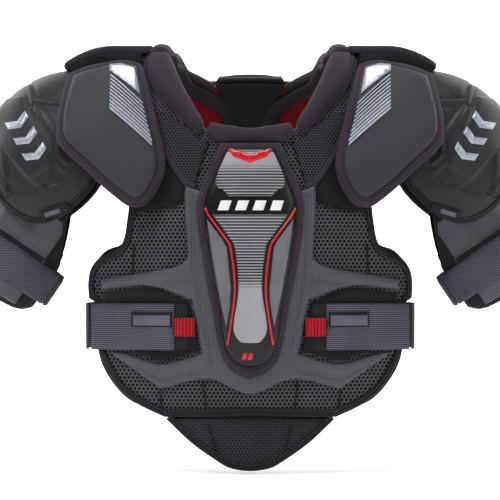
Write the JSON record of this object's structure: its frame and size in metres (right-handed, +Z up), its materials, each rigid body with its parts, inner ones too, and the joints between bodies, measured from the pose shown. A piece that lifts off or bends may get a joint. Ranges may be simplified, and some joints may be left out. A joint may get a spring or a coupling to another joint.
{
  "type": "hockey shoulder pads",
  "caption": "Padded vest with sternum plate, side straps, lifting shoulder caps, clavicle flaps, swinging biceps guards and a folding belly pad.",
  "frame": {"origin": "middle of the shoulder line, at the height of the top of the trunk padding, where the pads hang on the wearer", "axes": "+Z up, +X towards the wearer's left, -Y the way the wearer faces"},
  "size_m": [0.6672, 0.2607, 0.4631],
  "materials": {
    "black_mesh": "matte",
    "black_neoprene": "matte",
    "grey_moulded_foam": "matte",
    "grey_plate": "satin",
    "cap_plate": "satin",
    "silver_inlay": "satin",
    "silver_foil": "satin",
    "red_trim": "satin",
    "red_lining": "matte",
    "grey_elastic": "matte",
    "black_loop": "matte",
    "grey_hook": "matte"
  },
  "bodies": {
    "back": {"back_liner_left": "red_lining", "back_liner_right": "red_lining", "collar_wing_back_left": "black_neoprene", "collar_wing_back_right": "black_neoprene", "kidney_pad_left": "grey_moulded_foam", "kidney_pad_right": "grey_moulded_foam", "scapula_pad_left": "grey_moulded_foam", "scapula_pad_right": "grey_moulded_foam", "shoulder_bridge_left": "grey_elastic", "shoulder_bridge_right": "grey_elastic", "side_elastic_left": "grey_elastic", "side_elastic_right": "grey_elastic", "spine_channel": "black_loop", "spine_plate_lower": "grey_moulded_foam", "spine_plate_middle": "grey_moulded_foam", "spine_plate_upper": "grey_moulded_foam"},
    "chest": {"chest_liner": "black_mesh", "clavicle_mesh_left": "black_mesh", "clavicle_mesh_right": "black_mesh", "collar_bib": "black_neoprene", "collar_wing_front_left": "black_neoprene", "collar_wing_front_right": "black_neoprene", "hem_binding": "black_neoprene", "moulded_shell": "grey_moulded_foam", "side_binding_left": "black_neoprene", "side_binding_right": "black_neoprene", "sternum_chevron": "red_trim", "sternum_frame": "black_neoprene", "sternum_plate": "silver_inlay", "strap_landing_left": "black_loop", "strap_landing_right": "black_loop"},
    "belly": {"belly_pad": "black_mesh"},
    "strap_left": {"hook_tab_left": "grey_hook", "pull_tab_left": "red_trim", "strap_elastic_left": "grey_elastic"},
    "strap_right": {"hook_tab_right": "grey_hook", "pull_tab_right": "red_trim", "strap_elastic_right": "grey_elastic"},
    "clavicle_flap_left": {"clavicle_foil_left": "silver_foil", "clavicle_pad_left": "black_neoprene", "clavicle_plate_left": "grey_plate"},
    "clavicle_flap_right": {"clavicle_foil_right": "silver_foil", "clavicle_pad_right": "black_neoprene", "clavicle_plate_right": "grey_plate"},
    "cap_left": {"cap_emblem_left": "silver_foil", "cap_liner_left": "black_neoprene", "cap_shell_left": "cap_plate"},
    "cap_right": {"cap_emblem_right": "silver_foil", "cap_liner_right": "black_neoprene", "cap_shell_right": "cap_plate"},
    "biceps_left": {"biceps_elastic_left": "grey_elastic", "biceps_pad_left": "black_neoprene", "biceps_shell_left": "grey_plate"},
    "biceps_right": {"biceps_elastic_right": "grey_elastic", "biceps_pad_right": "black_neoprene", "biceps_shell_right": "grey_plate"},
    "biceps_strap_left": {"biceps_hook_tab_left": "grey_hook", "biceps_strap_left": "grey_elastic"},
    "biceps_strap_right": {"biceps_hook_tab_right": "grey_hook", "biceps_strap_right": "grey_elastic"}
  },
  "joints": [
    {"name": "chest_flex", "type": "hinge", "parent": "back", "child": "chest", "pos_m": [0, -0.02428, 0.0132], "axis": [-1, 0, 0], "range_deg": [0, 8]},
    {"name": "belly_pad_fold", "type": "hinge", "parent": "chest", "child": "belly", "pos_m": [0, -0.1159, -0.3955], "axis": [-1, 0, 0], "range_deg": [0, 40]},
    {"name": "strap_peel_left", "type": "hinge", "parent": "chest", "child": "strap_left", "pos_m": [0.1747, -0.06591, -0.29731], "axis": [0, 0, 1], "range_deg": [0, 110]},
    {"name": "clavicle_flap_lift_left", "type": "hinge", "parent": "chest", "child": "clavicle_flap_left", "pos_m": [0.16, -0.03005, -0.00324], "axis": [-1, 0, 0], "range_deg": [0, 45]},
    {"name": "cap_lift_left", "type": "hinge", "parent": "back", "child": "cap_left", "pos_m": [0.192, 0, -0.13293], "axis": [0, -1, 0], "range_deg": [-12, 30]},
    {"name": "biceps_swing_left", "type": "hinge", "parent": "cap_left", "child": "biceps_left", "pos_m": [0.22776, 0, -0.17112], "axis": [-0.829, 0, -0.5592], "range_deg": [-8, 8]},
    {"name": "biceps_strap_peel_left", "type": "hinge", "parent": "biceps_left", "child": "biceps_strap_left", "pos_m": [0.21788, -0.02064, -0.2586], "axis": [-0.5592, 0, 0.829], "range_deg": [0, 45]},
    {"name": "strap_peel_right", "type": "hinge", "parent": "chest", "child": "strap_right", "pos_m": [-0.1747, -0.06591, -0.29731], "axis": [0, 0, -1], "range_deg": [0, 110]},
    {"name": "clavicle_flap_lift_right", "type": "hinge", "parent": "chest", "child": "clavicle_flap_right", "pos_m": [-0.16, -0.03005, -0.00324], "axis": [-1, 0, 0], "range_deg": [0, 45]},
    {"name": "cap_lift_right", "type": "hinge", "parent": "back", "child": "cap_right", "pos_m": [-0.192, 0, -0.13293], "axis": [0, 1, 0], "range_deg": [-12, 30]},
    {"name": "biceps_swing_right", "type": "hinge", "parent": "cap_right", "child": "biceps_right", "pos_m": [-0.22776, 0, -0.17112], "axis": [-0.829, 0, 0.5592], "range_deg": [-8, 8]},
    {"name": "biceps_strap_peel_right", "type": "hinge", "parent": "biceps_right", "child": "biceps_strap_right", "pos_m": [-0.21788, -0.02064, -0.2586], "axis": [-0.5592, 0, -0.829], "range_deg": [0, 45]}
  ]
}
